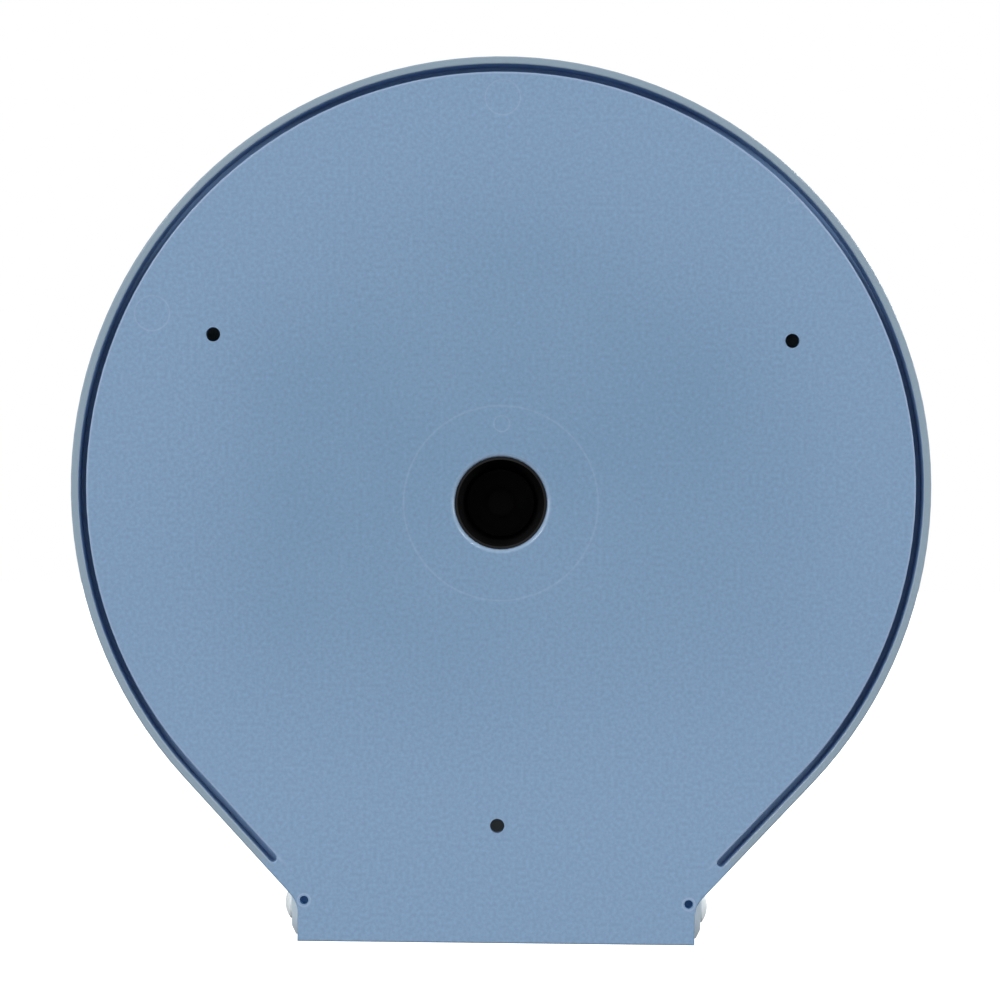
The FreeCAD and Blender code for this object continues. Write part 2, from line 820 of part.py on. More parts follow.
def tear_blade():
    """Toothed strip of the right cheek; its teeth reach below the mouth."""
    inner = cover_neck_half - cover_wall - blade_sheet
    tooth_count = round(blade_length / tooth_pitch)
    pitch = blade_length / tooth_count
    front = blade_back + blade_length
    points = [
        Vector(inner, -blade_back, mouth_height + blade_height),
        Vector(inner, -front, mouth_height + blade_height),
        Vector(inner, -front, mouth_height),
    ]
    for index in range(tooth_count):
        tooth_front = front - pitch * index
        points.append(Vector(inner, -(tooth_front - pitch / 2), mouth_height - tooth_height))
        points.append(Vector(inner, -(tooth_front - pitch), mouth_height))
    blade = prism(points, RIGHT * blade_sheet)
    for place in rivet_places():
        blade = blade.cut(cylinder(rivet_radius, place - RIGHT * overrun, RIGHT, blade_sheet + 2 * overrun))
    return on_cheek(blade)


def blade_rivet(place):
    """Rivet through the blade and the cheek, with its domed head outside."""
    grip = blade_sheet + cover_wall
    edge = rivet_head_height / 2
    profile = [
        (0, -rivet_tail_height),
        (rivet_head_radius - edge, -rivet_tail_height),
        (rivet_head_radius, 0),
        (rivet_radius, 0),
        (rivet_radius, grip),
        (rivet_head_radius, grip),
        (rivet_head_radius, grip + edge),
        (rivet_head_radius - edge, grip + rivet_head_height),
        (0, grip + rivet_head_height),
    ]
    return on_cheek(turned(profile, place, RIGHT, UP))


def blade_rivets():
    rivets = []
    for place in rivet_places():
        rivets += both_sides(blade_rivet(place))
    return Part.makeCompound(rivets)


def hinge_pin():
    """Right-hand push-in pin: domed head, shank and split barbed tip."""
    seat = hinge_pad_outer + hinge_side_gap
    top = seat + pin_head_height
    tip = lug_inner - pin_tip_length
    dome_height = pin_head_height - pin_head_rim
    dome_radius = (pin_head_radius ** 2 + dome_height ** 2) / (2 * dome_height)
    centre = Vector(0, -hinge_front, hinge_height)
    profile = [
        (0, tip),
        (pin_radius - pin_barb, tip),
        (pin_radius + pin_barb, lug_inner - pin_barb),
        (pin_radius + pin_barb, lug_inner),
        (pin_radius, lug_inner),
        (pin_radius, seat),
        (pin_head_radius, seat),
        (pin_head_radius, top),
        (0, top),
    ]
    pin = turned(profile, centre, RIGHT, UP)
    dome_centre = centre + RIGHT * (top - dome_radius)
    head = Part.makeSphere(dome_radius, dome_centre)
    shank = cylinder(pin_head_radius, centre + RIGHT * (tip - overrun), RIGHT, seat - tip + overrun)
    pin = pin.common(head.fuse(shank))
    half = pin_slot_width / 2
    reach = lug_radius
    slot = block(tip - overrun, tip + pin_slot_length, hinge_front - reach, hinge_front + reach,
                 hinge_height - half, hinge_height + half)
    return pin.cut(slot)


def lock_barrel(radius, flat, base, length):
    """Round bar about the lock's axis with two flats."""
    bar = cylinder(radius, Vector(0, -lock_front, base), UP, length)
    return bar.common(block(-flat, flat, lock_front - radius, lock_front + radius, base, base + length))


def lock_case():
    body = lock_barrel(lock_body_radius, lock_body_flat, lock_body_base, lock_body_length)
    flange = cylinder(lock_flange_radius, Vector(0, -lock_front, lock_seat), UP, lock_flange_thickness)
    rim = [edge for edge in flange.Edges if edge.BoundBox.ZMin > lock_seat]
    flange = flange.makeChamfer(lock_flange_thickness / 2, rim)
    case = body.fuse(flange)
    bore_start = Vector(0, -lock_front, lock_body_base - overrun)
    bore_length = lock_body_length + lock_flange_thickness + 2 * overrun
    return case.cut(cylinder(plug_radius + plug_gap, bore_start, UP, bore_length))


def lock_nut():
    step = math.radians(full_turn_angle / lock_nut_sides)
    corner_radius = lock_nut_width / 2 / math.cos(step / 2)
    centre = Vector(0, -lock_front, lock_pad_base - lock_nut_height)
    points = []
    for index in range(lock_nut_sides):
        angle = step * index
        points.append(centre + Vector(math.cos(angle), math.sin(angle), 0) * corner_radius)
    nut = prism(points, UP * lock_nut_height)
    return nut.cut(lock_barrel(lock_body_radius, lock_body_flat, lock_pad_base - lock_nut_height - overrun,
                               lock_nut_height + 2 * overrun))


def lock_plug():
    top = lock_seat + lock_flange_thickness
    round_base = lock_body_base
    plug = cylinder(plug_radius, Vector(0, -lock_front, round_base), UP, top - round_base)
    half = plug_tang / 2
    tang = block(-half, half, lock_front - half, lock_front + half, cam_base, round_base)
    plug = plug.fuse(tang)
    half_slot = key_slot_length / 2
    half_width = key_slot_width / 2
    slot = block(-half_width, half_width, lock_front - half_slot, lock_front + half_slot,
                 top - key_slot_depth, top + overrun)
    centre_hole = cylinder(key_hole_radius, Vector(0, -lock_front, top - key_slot_depth), UP,
                           key_slot_depth + overrun)
    screw_top = cam_base - cam_washer_thickness + cam_screw_length
    screw_hole = cylinder(cam_screw_radius, Vector(0, -lock_front, cam_base - overrun), UP,
                          screw_top - cam_base + overrun)
    return plug.cut(slot).cut(centre_hole).cut(screw_hole)


def lock_cam():
    """Tongue that points at the wall when open; a quarter turn takes it behind the keeper's lip."""
    hub = cylinder(cam_hub_radius, Vector(0, -lock_front, cam_base), UP, cam_thickness)
    tip_centre = lock_front - cam_length + cam_half_width
    arm = block(-cam_half_width, cam_half_width, tip_centre, lock_front, cam_base, cam_top)
    tip = cylinder(cam_half_width, Vector(0, -tip_centre, cam_base), UP, cam_thickness)
    half = plug_tang / 2 + cam_hole_gap
    hole = block(-half, half, lock_front - half, lock_front + half, cam_base - overrun, cam_top + overrun)
    return fused([hub, arm, tip]).cut(hole)


def cam_washer():
    base = Vector(0, -lock_front, cam_base - cam_washer_thickness)
    return tube(cam_washer_radius, cam_screw_radius, base, UP, cam_washer_thickness)


def cam_screw():
    seat = cam_base - cam_washer_thickness
    axis_point = Vector(0, -lock_front, seat)
    profile = [
        (0, -cam_screw_head_height),
        (cam_screw_head_radius - cam_screw_head_height / 2, -cam_screw_head_height),
        (cam_screw_head_radius, -cam_screw_head_height / 2),
        (cam_screw_head_radius, 0),
        (cam_screw_radius, 0),
        (cam_screw_radius, cam_screw_length),
        (0, cam_screw_length),
    ]
    screw = turned(profile, axis_point, UP, RIGHT)
    return screw.cut(cross_recess(cam_screw_cross, axis_point - UP * cam_screw_head_height, -UP))


def write_parts():
    right_pin = hinge_pin()
    right_blade = tear_blade()
    pieces = {
        "backplate": backplate(),
        "spindle_post": spindle_post(),
        "post_screws": post_screws(),
        "brake_washer": brake_washer(),
        "core_holder": core_holder(),
        "core_spacer": core_spacer(),
        "spindle_cap": spindle_cap(),
        "cap_screw": cap_screw(),
        "cover_shell": cover_shell(),
        "hinge_pin_right": right_pin,
        "hinge_pin_left": mirrored(right_pin),
        "tear_blade_right": right_blade,
        "tear_blade_left": mirrored(right_blade),
        "blade_rivets": blade_rivets(),
        "lock_case": lock_case(),
        "lock_nut": lock_nut(),
        "lock_plug": lock_plug(),
        "lock_cam": lock_cam(),
        "cam_washer": cam_washer(),
        "cam_screw": cam_screw(),
    }
    os.makedirs("parts", exist_ok=True)
    for name, shape in pieces.items():
        shape.exportStep(os.path.join("parts", name + ".step"))
        state = "valid" if shape.isValid() else "NOT VALID"
        print(name, len(shape.Solids), "solids,", round(shape.Volume, 1), "mm3,", state)


write_parts()
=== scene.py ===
import json
import math

import bmesh
import bpy
from mathutils import Matrix, Vector


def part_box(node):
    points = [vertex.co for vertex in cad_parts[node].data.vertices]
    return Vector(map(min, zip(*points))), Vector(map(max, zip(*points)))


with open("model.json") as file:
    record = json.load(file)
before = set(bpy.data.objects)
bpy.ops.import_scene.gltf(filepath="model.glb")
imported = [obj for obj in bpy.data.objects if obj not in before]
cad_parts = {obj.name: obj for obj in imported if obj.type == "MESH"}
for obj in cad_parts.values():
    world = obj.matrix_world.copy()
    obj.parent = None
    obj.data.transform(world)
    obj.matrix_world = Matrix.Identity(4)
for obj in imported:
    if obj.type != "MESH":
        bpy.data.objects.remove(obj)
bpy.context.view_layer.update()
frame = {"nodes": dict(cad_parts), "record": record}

# A wall dispenser for one jumbo toilet roll, seen from behind as in the photograph.
# Metres; the origin is on the wall, on the roll's axis; +Y points into the wall and +Z up.

# Sizes that the finishes read from the frame
plate_low, plate_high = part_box("backplate")
plate_radius = (plate_high.x - plate_low.x) / 2
plate_centre_height = plate_high.z - plate_radius
neck_base = plate_low.z
shoulder_angle = math.radians(47)

# Where the photograph puts the plate: pixels of a 1000 by 1000 frame
photo_size = 1000
photo_hub = (500.9, 503.1)
photo_plate_radius = 430.4
photo_turn = math.radians(0.65)
camera_distance = 1.15
sensor_width = 36.0
nearest_seen = 0.05
farthest_seen = 20

# Lamps, which all point at the origin: name, place, size and power in watts
lamps = [
    ("Key behind", (1.9, 4.1, 1.6), (0.9, 0.7), 80),
    ("Second key behind", (-1.9, 4.1, 1.6), (0.9, 0.7), 49),
    ("Key in front", (-2.1, -3.4, 1.3), (1.8, 1.4), 100),
    ("Left fill", (3.0, 0.9, -0.1), (2.2, 2.0), 52),
    ("Right fill", (-3.0, 0.9, -0.1), (2.2, 2.0), 54),
]
ambient_strength = 0.5
seen_strength = 1.0

# The floor, which looks white to the camera and throws little light back at the dispenser
floor_drop = 0.17
floor_reach = 12.0
floor_seen = (0.62, 0.62, 0.62, 1)
floor_thrown_back = (0.06, 0.06, 0.06, 1)
floor_glow_fade = (0.7, 2.0)
floor_near_glow = 0.42
floor_glow_in_gloss = 0.5


def colour(red, green, blue):
    """Linear colour of an sRGB one given from 0 to 255."""
    def channel(value):
        share = value / 255
        return share / 12.92 if share <= 0.04045 else ((share + 0.055) / 1.055) ** 2.4
    return (channel(red), channel(green), channel(blue), 1.0)


# Helpers for shader nodes and meshes

def place(tree, kind, values=None, **settings):
    """A new node with its settings, and its inputs joined to sockets or set to values."""
    made = tree.nodes.new(kind)
    for name, value in settings.items():
        setattr(made, name, value)
    for name, value in (values or {}).items():
        put(tree, made.inputs[name], value)
    return made


def put(tree, socket, value):
    """Joins an input to a socket, or gives it a value."""
    if isinstance(value, bpy.types.NodeSocket):
        tree.links.new(value, socket)
    else:
        socket.default_value = value


def maths(tree, operation, *values):
    made = tree.nodes.new("ShaderNodeMath")
    made.operation = operation
    for socket, value in zip(made.inputs, values):
        put(tree, socket, value)
    return made.outputs[0]


def product(tree, first, *others):
    """All the masks and numbers multiplied together."""
    result = first
    for other in others:
        result = maths(tree, "MULTIPLY", result, other)
    return result


def mix_value(tree, share, low, high):
    made = tree.nodes.new("ShaderNodeMix")
    made.data_type = "FLOAT"
    put(tree, made.inputs[0], share)
    put(tree, made.inputs[2], low)
    put(tree, made.inputs[3], high)
    return made.outputs[0]


def mix_colour(tree, share, low, high):
    made = tree.nodes.new("ShaderNodeMix")
    made.data_type = "RGBA"
    put(tree, made.inputs[0], share)
    put(tree, made.inputs[6], low)
    put(tree, made.inputs[7], high)
    return made.outputs[2]


def ramp(tree, value, start, end):
    """0 at start and 1 at end, smooth between them."""
    made = place(tree, "ShaderNodeMapRange", interpolation_type="SMOOTHSTEP")
    put(tree, made.inputs["Value"], value)
    put(tree, made.inputs["From Min"], start)
    put(tree, made.inputs["From Max"], end)
    return made.outputs["Result"]


def split(tree, vector):
    return place(tree, "ShaderNodeSeparateXYZ", {"Vector": vector}).outputs


def length_of(tree, vector):
    return place(tree, "ShaderNodeVectorMath", {0: vector}, operation="LENGTH").outputs["Value"]


def length_across_wall(tree, across, up):
    """Length of a vector that lies in the wall's plane."""
    return length_of(tree, place(tree, "ShaderNodeCombineXYZ", {"X": across, "Z": up}).outputs["Vector"])


def noise(tree, vector, scale, detail):
    values = {"Vector": vector, "Scale": scale, "Detail": detail}
    return place(tree, "ShaderNodeTexNoise", values).outputs["Fac"]


def empty_material(name):
    material = bpy.data.materials.new(name)
    material.use_nodes = True
    tree = material.node_tree
    tree.nodes.clear()
    return material, tree, tree.nodes.new("ShaderNodeOutputMaterial")


def plastic_or_metal(name):
    """A material with its Principled shader, and the piece's own coordinates."""
    material, tree, output = empty_material(name)
    shader = tree.nodes.new("ShaderNodeBsdfPrincipled")
    tree.links.new(shader.outputs["BSDF"], output.inputs["Surface"])
    where = tree.nodes.new("ShaderNodeTexCoord").outputs["Object"]
    return material, tree, shader, where


def bump(tree, shader, height, strength, distance):
    made = place(tree, "ShaderNodeBump", {"Height": height, "Strength": strength, "Distance": distance})
    tree.links.new(made.outputs["Normal"], shader.inputs["Normal"])


def node_group(name, inputs, outputs):
    """An empty shader group; inputs are (name, kind, default), outputs are (name, kind)."""
    group = bpy.data.node_groups.new(name, "ShaderNodeTree")
    for label, kind, default in inputs:
        socket = group.interface.new_socket(label, in_out="INPUT", socket_type=kind)
        if default is not None:
            socket.default_value = default
    for label, kind in outputs:
        group.interface.new_socket(label, in_out="OUTPUT", socket_type=kind)
    return group, group.nodes.new("NodeGroupInput").outputs, group.nodes.new("NodeGroupOutput").inputs


def use_group(tree, group, values):
    made = tree.nodes.new("ShaderNodeGroup")
    made.node_tree = group
    for name, value in values.items():
        put(tree, made.inputs[name], value)
    return made.outputs


def finished_object(name, shape):
    """Turns a bmesh into an object at the origin, with its faces pointing outwards."""
    bmesh.ops.recalc_face_normals(shape, faces=shape.faces)
    mesh = bpy.data.meshes.new(name)
    shape.to_mesh(mesh)
    shape.free()
    made = bpy.data.objects.new(name, mesh)
    bpy.context.scene.collection.objects.link(made)
    return made


# Camera, lights, world and floor

def make_camera():
    pixel = plate_radius / photo_plate_radius
    data = bpy.data.cameras.new("Camera")
    data.sensor_width = sensor_width
    data.lens = sensor_width * camera_distance / (photo_size * pixel)
    data.clip_start = nearest_seen
    data.clip_end = farthest_seen
    camera = bpy.data.objects.new("Camera", data)
    across = (photo_hub[0] - photo_size / 2) * pixel
    above = (photo_hub[1] - photo_size / 2) * pixel
    camera.location = (across, camera_distance, above)
    look_at_wall_side = Matrix.Rotation(math.pi, 4, "Z") @ Matrix.Rotation(math.pi / 2, 4, "X")
    camera.rotation_euler = (look_at_wall_side @ Matrix.Rotation(photo_turn, 4, "Z")).to_euler()
    bpy.context.scene.collection.objects.link(camera)
    bpy.context.scene.camera = camera


def make_lamp(name, spot, size, power):
    data = bpy.data.lights.new(name, "AREA")
    data.shape = "RECTANGLE"
    data.size, data.size_y = size
    data.energy = power
    lamp = bpy.data.objects.new(name, data)
    lamp.location = spot
    lamp.rotation_euler = (-Vector(spot)).to_track_quat("-Z", "Y").to_euler()
    bpy.context.scene.collection.objects.link(lamp)


def make_world():
    world = bpy.data.worlds.new("Studio")
    bpy.context.scene.world = world
    world.use_nodes = True
    tree = world.node_tree
    tree.nodes.clear()
    seen = tree.nodes.new("ShaderNodeLightPath").outputs
    bright = maths(tree, "MAXIMUM", seen["Is Camera Ray"], seen["Is Transmission Ray"])
    strength = mix_value(tree, bright, ambient_strength, seen_strength)
    background = place(tree, "ShaderNodeBackground", {"Color": (1, 1, 1, 1), "Strength": strength})
    output = tree.nodes.new("ShaderNodeOutputWorld")
    tree.links.new(background.outputs["Background"], output.inputs["Surface"])


def make_floor():
    shape = bmesh.new()
    bmesh.ops.create_grid(shape, x_segments=1, y_segments=1, size=floor_reach)
    bmesh.ops.translate(shape, verts=shape.verts, vec=(0, 0, neck_base - floor_drop))
    floor = finished_object("floor", shape)
    material, tree, output = empty_material("floor_paper")
    away = length_of(tree, tree.nodes.new("ShaderNodeTexCoord").outputs["Object"])
    seen = tree.nodes.new("ShaderNodeLightPath").outputs
    tone = mix_colour(tree, seen["Is Camera Ray"], floor_thrown_back, floor_seen)
    diffuse = place(tree, "ShaderNodeBsdfDiffuse", {"Color": tone})
    in_gloss = maths(tree, "MULTIPLY", seen["Is Glossy Ray"], floor_glow_in_gloss)
    shown = maths(tree, "MAXIMUM", seen["Is Camera Ray"], in_gloss)
    paleness = mix_value(tree, ramp(tree, away, *floor_glow_fade), floor_near_glow, 1.0)
    glow = place(tree, "ShaderNodeEmission", {"Strength": maths(tree, "MULTIPLY", shown, paleness)})
    both = tree.nodes.new("ShaderNodeAddShader")
    tree.links.new(diffuse.outputs["BSDF"], both.inputs[0])
    tree.links.new(glow.outputs["Emission"], both.inputs[1])
    tree.links.new(both.outputs["Shader"], output.inputs["Surface"])
    floor.data.materials.append(material)


# Effects that several finishes share

def make_grain_group():
    """Fine spark-eroded texture of a mould, with slow changes of tone over the piece."""
    group, given, result = node_group(
        "Moulded grain",
        [
            ("Vector", "NodeSocketVector", None),
            ("Grain", "NodeSocketFloat", 900.0),
            ("Cloud", "NodeSocketFloat", 12.0),
        ],
        [("Height", "NodeSocketFloat"), ("Speckle", "NodeSocketFloat"), ("Tone", "NodeSocketFloat")],
    )
    coarse_share = 0.35
    coarse_scale = maths(group, "MULTIPLY", given["Grain"], coarse_share)
    fine = noise(group, given["Vector"], given["Grain"], detail=2.0)
    coarse = noise(group, given["Vector"], coarse_scale, detail=3.0)
    slow = noise(group, given["Vector"], given["Cloud"], detail=3.0)
    group.links.new(mix_value(group, 0.5, fine, coarse), result["Height"])
    group.links.new(coarse, result["Speckle"])
    group.links.new(ramp(group, slow, start=0.3, end=0.7), result["Tone"])
    return group


def make_ring_group():
    """Line of a circle round (X, Z) on the plate's back face, as a flush ejector leaves; also used for
    the painted highlight rings round the blind holes.
    """
    group, given, result = node_group(
        "Ring mark",
        [
            ("Vector", "NodeSocketVector", None),
            ("X", "NodeSocketFloat", 0.0),
            ("Z", "NodeSocketFloat", 0.0),
            ("Radius", "NodeSocketFloat", 0.01),
            ("Half width", "NodeSocketFloat", 0.0003),
        ],
        [("Line", "NodeSocketFloat"), ("Inside", "NodeSocketFloat")],
    )
    apart = split(group, given["Vector"])
    across = maths(group, "SUBTRACT", apart["X"], given["X"])
    up = maths(group, "SUBTRACT", apart["Z"], given["Z"])
    length = length_across_wall(group, across, up)
    off = maths(group, "ABSOLUTE", maths(group, "SUBTRACT", length, given["Radius"]))
    group.links.new(ramp(group, off, given["Half width"], 0.0), result["Line"])
    outside = maths(group, "ADD", given["Radius"], given["Half width"])
    inside = maths(group, "SUBTRACT", given["Radius"], given["Half width"])
    group.links.new(ramp(group, length, outside, inside), result["Inside"])
    return group


def make_outline_group():
    """Distance inwards from the outline that the plate and the cover share."""
    group, given, result = node_group(
        "Outline distance",
        [("Vector", "NodeSocketVector", None)],
        [("Distance", "NodeSocketFloat")],
    )
    sine = math.sin(shoulder_angle)
    cosine = math.cos(shoulder_angle)
    apart = split(group, given["Vector"])
    side = maths(group, "ABSOLUTE", apart["X"])
    up = maths(group, "SUBTRACT", apart["Z"], plate_centre_height)
    from_circle = maths(group, "SUBTRACT", plate_radius, length_across_wall(group, side, up))
    side_outwards = maths(group, "MULTIPLY", side, sine)
    up_outwards = maths(group, "MULTIPLY", up, cosine)
    from_shoulder = maths(
        group, "SUBTRACT", plate_radius, maths(group, "SUBTRACT", side_outwards, up_outwards))
    side_along = maths(group, "MULTIPLY", side, cosine)
    up_along = maths(group, "MULTIPLY", up, sine)
    below = maths(group, "LESS_THAN", maths(group, "ADD", side_along, up_along), 0.0)
    group.links.new(mix_value(group, below, from_circle, from_shoulder), result["Distance"])
    return group


grain_group = make_grain_group()
ring_group = make_ring_group()
outline_group = make_outline_group()


# The plate's back: its colours, painted light and shade among them
hub_blue = colour(118, 149, 180)
hub_blue_cloud = colour(124, 154, 185)
outer_blue = colour(128, 157, 189)
# painted light: the plate is paler towards the neck
lower_painted_light_blue = colour(131, 160, 192)
land_grey = colour(143, 161, 174)
# painted shade: the deeper blue of the groove's shaded inside
groove_painted_shade_blue = colour(134, 170, 212)
# painted highlight on the hub's rounded lip
lip_painted_highlight = colour(172, 192, 216)
# painted shade: the deeper blue inside the two blind holes
core_hole_painted_shade_blue = colour(128, 182, 226)
# pale colour of the ring marks, and of the painted highlights along the groove's inner edge and round
# the blind holes
marks_and_painted_highlight_pale = colour(158, 178, 206)

# The plate's back: where its tones come in, each from none to full
hub_to_outer = (0.06, 0.12)
lip_round_hub = (0.0156, 0.0146)
# painted light fades in from the middle down to the neck
middle_to_neck_painted_light = (-0.03, -0.1)
neck_to_rim = (-0.112, -0.106)
inside_to_back_face = (-0.0008, -0.0001)
back_face_to_sunk = (-0.0006, -0.0012)
groove_floor_to_wall = (-0.0106, -0.0102)
hub_wall_to_lip = (-0.0016, -0.0008)
groove_to_land = (0.0026, 0.0021)
land_to_groove = (0.0020, 0.0022)
plate_to_groove = (0.00475, 0.00462)
# where the painted highlight along the groove's rounded inner edge lies
groove_to_edge_highlight = (0.0044, 0.0046)
plate_to_edge_highlight = (0.0055, 0.0049)

# The plate's back: its faint ring round the hub, the painted highlight rings round its two blind holes,
# and the flush marks that the ejectors left, each as (across, height, radius)
hub_ring_radius = 0.0294
hub_ring_half_width = 0.0005
core_hole_across = 0.0581
core_hole_height = neck_base + 0.0124
core_hole_highlight_radius = 0.0019
mark_half_width = 0.0004
ejector_marks = [
    (0.0008, 0.1226, 0.0053),
    (0.1060, 0.0562, 0.0053),
    (-0.0869, 0.0928, 0.0012),
    (0.0, 0.0240, 0.0024),
]

# The plate's back: how strongly each mark, painted shade and painted highlight shows
land_strength = 0.85
groove_shade_strength = 0.9
edge_highlight_strength = 0.6
lip_highlight_strength = 0.3
hub_ring_strength = 0.25
core_hole_highlight_strength = 0.8
ejector_line_strength = 0.3
hub_ring_sink = 0.5
grain_relief = 0.5


# Finishes

def ring_mark(tree, where, across, height, radius, half_width=mark_half_width):
    values = {"Vector": where, "X": across, "Z": height, "Radius": radius, "Half width": half_width}
    return use_group(tree, ring_group, values)


def plate_plastic():
    """Satin blue-grey moulding, deeper round the hub, greyer on the rim's land, with marks behind;
    painted light makes it paler towards the neck, painted shade tints its groove and blind holes, and
    painted highlights run along the hub's lip, the groove's inner edge and round the blind holes.
    """
    material, tree, shader, where = plastic_or_metal("plate_plastic")
    grain = use_group(tree, grain_group, {"Vector": where, "Grain": 2600.0, "Cloud": 9.0})
    around = length_of(tree, where)
    apart = split(tree, where)
    inset = use_group(tree, outline_group, {"Vector": where})["Distance"]
    behind = ramp(tree, apart["Y"], *inside_to_back_face)
    sunk_face = ramp(tree, apart["Y"], *back_face_to_sunk)
    above_neck = ramp(tree, apart["Z"], *neck_to_rim)

    # The plastic's own colour from the hub out to the rim, then painted light that makes it paler down
    # to the neck
    tone = mix_colour(tree, grain["Tone"], hub_blue, hub_blue_cloud)
    tone = mix_colour(tree, ramp(tree, around, *hub_to_outer), tone, outer_blue)
    tone = mix_colour(tree, ramp(tree, apart["Z"], *middle_to_neck_painted_light), tone, lower_painted_light_blue)
    speckle = mix_value(tree, ramp(tree, grain["Speckle"], start=0.2, end=0.8), low=0.9, high=1.1)
    scaled = place(tree, "ShaderNodeVectorMath", {0: tone, 3: speckle}, operation="SCALE")
    tone = scaled.outputs["Vector"]

    # The rim's land, with painted shade in the groove behind it and a painted highlight on the hub's lip
    beside_groove = ramp(tree, inset, *groove_to_land)
    land = product(tree, behind, above_neck, beside_groove, land_strength)
    tone = mix_colour(tree, land, tone, land_grey)
    # Painted shade: a deeper blue inside the groove stands in for its shade
    groove_painted_shade = product(
        tree, ramp(tree, inset, *land_to_groove), ramp(tree, inset, *plate_to_groove),
        sunk_face, ramp(tree, apart["Y"], *groove_floor_to_wall), above_neck, groove_shade_strength)
    tone = mix_colour(tree, groove_painted_shade, tone, groove_painted_shade_blue)
    lip = product(
        tree, ramp(tree, around, *lip_round_hub), ramp(tree, apart["Y"], *hub_wall_to_lip))
    # Painted highlight: the hub's lip is painted paler all round
    tone = mix_colour(tree, product(tree, lip, lip_highlight_strength), tone, lip_painted_highlight)

    # Pale lines and the faces that are sunk inside them: the ring marks are real, while the lines along
    # the groove's inner edge and round the blind holes are painted highlights
    hub = ring_mark(tree, where, 0.0, 0.0, hub_ring_radius, hub_ring_half_width)
    sunk = product(tree, hub["Inside"], hub_ring_sink)
    # Painted highlight along the groove's rounded inner edge
    lines = product(
        tree, ramp(tree, inset, *groove_to_edge_highlight), ramp(tree, inset, *plate_to_edge_highlight),
        above_neck, edge_highlight_strength)
    lines = maths(tree, "MAXIMUM", lines, product(tree, hub["Line"], hub_ring_strength))
    for across in (core_hole_across, -core_hole_across):
        # Painted highlight ring round each blind hole's edge
        hole = ring_mark(tree, where, across, core_hole_height, core_hole_highlight_radius)
        lines = maths(tree, "MAXIMUM", lines, product(tree, hole["Line"], core_hole_highlight_strength))
        # Painted shade: a deeper blue inside each blind hole
        tone = mix_colour(tree, product(tree, hole["Inside"], sunk_face), tone, core_hole_painted_shade_blue)
    for across, height, radius in ejector_marks:
        mark = ring_mark(tree, where, across, height, radius)
        sunk = maths(tree, "ADD", sunk, mark["Inside"])
        lines = maths(tree, "MAXIMUM", lines, product(tree, mark["Line"], ejector_line_strength))
    # Ring marks and painted highlights share one pale colour
    tone = mix_colour(tree, product(tree, lines, behind), tone, marks_and_painted_highlight_pale)

    put(tree, shader.inputs["Base Color"], tone)
    put(tree, shader.inputs["Roughness"], mix_value(tree, grain["Tone"], low=0.34, high=0.42))
    shader.inputs["Specular IOR Level"].default_value = 0.15
    put(tree, shader.inputs["Coat Weight"], mix_value(tree, lip, low=0.12, high=0.7))
    shader.inputs["Coat Roughness"].default_value = 0.12
    raised = product(tree, grain["Height"], grain_relief)
    relief = maths(tree, "SUBTRACT", raised, product(tree, sunk, behind))
    bump(tree, shader, relief, strength=0.6, distance=0.00008)
    return material


def cover_plastic():
    """Polished opal moulding, with a slow unevenness of gloss."""
    material, tree, shader, where = plastic_or_metal("cover_plastic")
    grain = use_group(tree, grain_group, {"Vector": where, "Grain": 160.0, "Cloud": 6.0})
    tone = mix_colour(tree, grain["Tone"], colour(225, 237, 243), colour(230, 241, 246))
    put(tree, shader.inputs["Base Color"], tone)
    put(tree, shader.inputs["Roughness"], mix_value(tree, grain["Tone"], low=0.2, high=0.25))
    shader.inputs["Specular IOR Level"].default_value = 0.4
    bump(tree, shader, grain["Height"], strength=0.06, distance=0.0002)
    return material


def spindle_plastic():
    """Black satin moulding of the post, the core holder, the spacer and the cap."""
    material, tree, shader, where = plastic_or_metal("spindle_plastic")
    grain = use_group(tree, grain_group, {"Vector": where, "Grain": 900.0, "Cloud": 40.0})
    tone = mix_colour(tree, grain["Tone"], colour(13, 13, 15), colour(21, 21, 23))
    put(tree, shader.inputs["Base Color"], tone)
    put(tree, shader.inputs["Roughness"], mix_value(tree, grain["Tone"], low=0.36, high=0.46))
    shader.inputs["Specular IOR Level"].default_value = 0.2
    bump(tree, shader, grain["Height"], strength=0.2, distance=0.0001)
    return material


def pin_nylon():
    """Pale nylon that light enters a little way."""
    material, tree, shader, where = plastic_or_metal("pin_nylon")
    grain = use_group(tree, grain_group, {"Vector": where, "Grain": 900.0, "Cloud": 90.0})
    tone = mix_colour(tree, grain["Tone"], colour(232, 241, 247), colour(238, 246, 250))
    put(tree, shader.inputs["Base Color"], tone)
    put(tree, shader.inputs["Roughness"], mix_value(tree, grain["Speckle"], low=0.38, high=0.5))
    shader.inputs["Subsurface Weight"].default_value = 0.2
    shader.inputs["Subsurface Radius"].default_value = (0.002, 0.002, 0.002)
    bump(tree, shader, grain["Height"], strength=0.15, distance=0.0001)
    return material


def metal(name, dark, pale, rough, smooth, stretch):
    """Rolled or plated metal, clouded; stretch is lower along its fine lines than across them."""
    material, tree, shader, where = plastic_or_metal(name)
    lay = place(tree, "ShaderNodeMapping", {"Vector": where, "Scale": stretch})
    lines = noise(tree, lay.outputs["Vector"], scale=1.0, detail=4.0)
    grain = use_group(tree, grain_group, {"Vector": where, "Grain": 800.0, "Cloud": 60.0})
    put(tree, shader.inputs["Base Color"], mix_colour(tree, grain["Tone"], dark, pale))
    put(tree, shader.inputs["Roughness"], mix_value(tree, lines, smooth, rough))
    shader.inputs["Metallic"].default_value = 1.0
    bump(tree, shader, lines, strength=0.12, distance=0.00005)
    return material


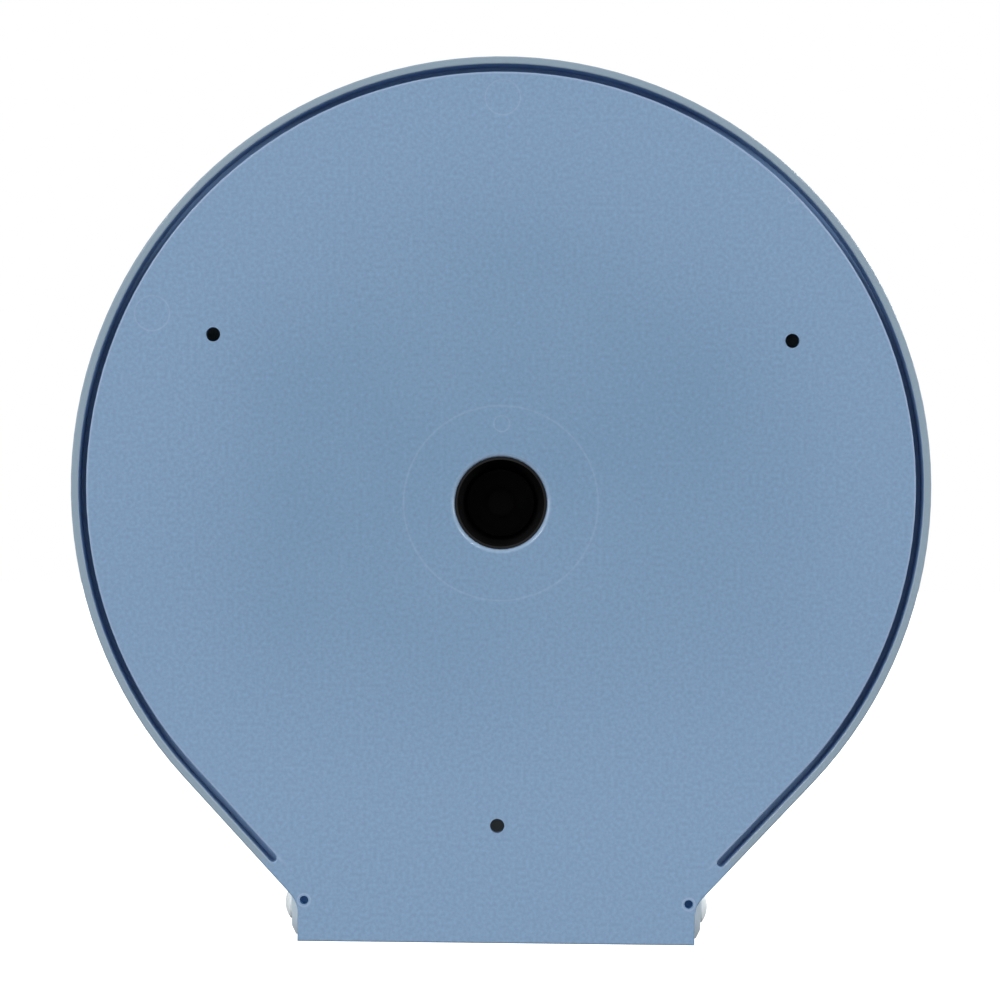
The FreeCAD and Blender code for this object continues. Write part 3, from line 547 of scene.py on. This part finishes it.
def spring_steel():
    dark = colour(168, 170, 173)
    pale = colour(196, 198, 200)
    return metal("spring_steel", dark, pale, rough=0.34, smooth=0.2, stretch=(6000, 90, 6000))


def zinc_steel():
    dark = colour(172, 176, 182)
    pale = colour(204, 207, 211)
    return metal("zinc_steel", dark, pale, rough=0.42, smooth=0.28, stretch=(900, 900, 900))


def lock_chrome():
    dark = colour(214, 215, 218)
    pale = colour(226, 227, 229)
    return metal("lock_chrome", dark, pale, rough=0.14, smooth=0.06, stretch=(700, 700, 700))


finishes = {
    "plate_plastic": plate_plastic(),
    "cover_plastic": cover_plastic(),
    "spindle_plastic": spindle_plastic(),
    "pin_nylon": pin_nylon(),
    "spring_steel": spring_steel(),
    "zinc_steel": zinc_steel(),
    "lock_chrome": lock_chrome(),
}


# How far the corners of each node are rounded
softened = {
    "backplate": 0.0003,
    "spindle_post": 0.0003,
    "core_holder": 0.0003,
    "core_spacer": 0.0003,
    "spindle_cap": 0.0003,
    "cover_shell": 0.00025,
    "hinge_pin_left": 0.0002,
    "hinge_pin_right": 0.0002,
    "lock_case": 0.00015,
    "lock_nut": 0.0002,
    "lock_plug": 0.0001,
    "lock_cam": 0.00015,
    "cap_screw": 0.0001,
    "cam_screw": 0.0001,
    "post_screws": 0.0001,
    "blade_rivets": 0.0002,
    "tear_blade_left": 0.0001,
    "tear_blade_right": 0.0001,
}
corner_angle = math.radians(35)
corner_segments = 2
weld_distance = 0.000002


def soften(piece, width):
    """Takes the razor edge off a node's corners and keeps its large faces even."""
    weld = piece.modifiers.new("Weld", "WELD")
    weld.merge_threshold = weld_distance
    bevel = piece.modifiers.new("Soft edges", "BEVEL")
    bevel.width = width
    bevel.segments = corner_segments
    bevel.limit_method = "ANGLE"
    bevel.angle_limit = corner_angle
    bevel.harden_normals = True
    bevel.use_clamp_overlap = True
    smooth = piece.modifiers.new("Smooth faces", "WEIGHTED_NORMAL")
    smooth.mode = "FACE_AREA"
    smooth.keep_sharp = True


def dress_frame():
    """Gives each node its finish, and softens those whose corners are listed."""
    slots = {part["node"]: part["material_slot"] for part in frame["record"]["subparts"]}
    for name, piece in frame["nodes"].items():
        piece.data.materials.clear()
        piece.data.materials.append(finishes[slots[name]])
        if name in softened:
            soften(piece, softened[name])


make_world()
make_floor()
make_camera()
for name, spot, size, power in lamps:
    make_lamp(name, spot, size, power)
dress_frame()

view_settings = bpy.context.scene.view_settings
view_settings.view_transform = "Standard"
